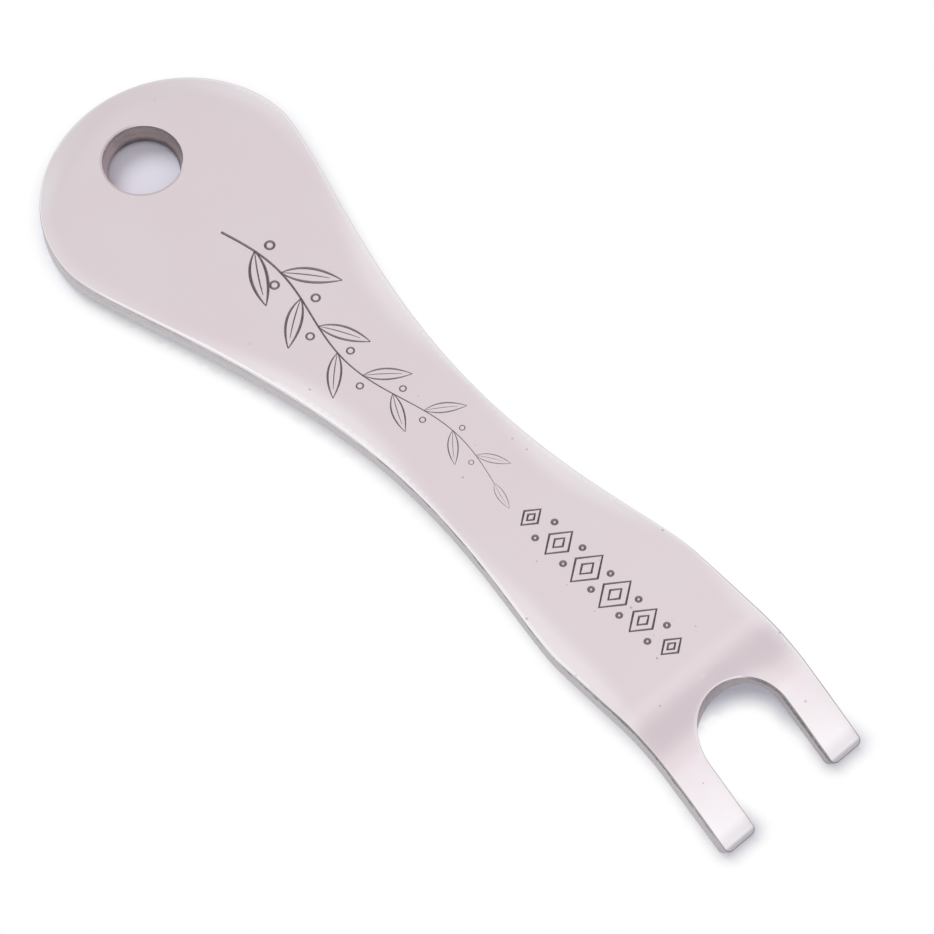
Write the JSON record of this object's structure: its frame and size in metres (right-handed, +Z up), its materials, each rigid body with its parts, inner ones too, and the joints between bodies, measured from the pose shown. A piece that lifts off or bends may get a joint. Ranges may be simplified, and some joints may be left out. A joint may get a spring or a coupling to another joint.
{
  "type": "bridge pin puller",
  "caption": "Flat steel hand tool with a round head, a hang hole, a waisted shank and a bent fork whose slot slips under the head of a guitar bridge pin to lift it out.",
  "frame": {"origin": "under the middle of the tool's outline, on the table that it lies on", "axes": "+X from the head to the fork, +Z up, +Y across the plate"},
  "size_m": [0.068, 0.0186, 0.0054],
  "materials": {
    "satin_steel": "satin polished stainless steel with soft, slightly pink grey reflections"
  },
  "bodies": {
    "root": {"puller_plate": "satin_steel"}
  },
  "joints": []
}
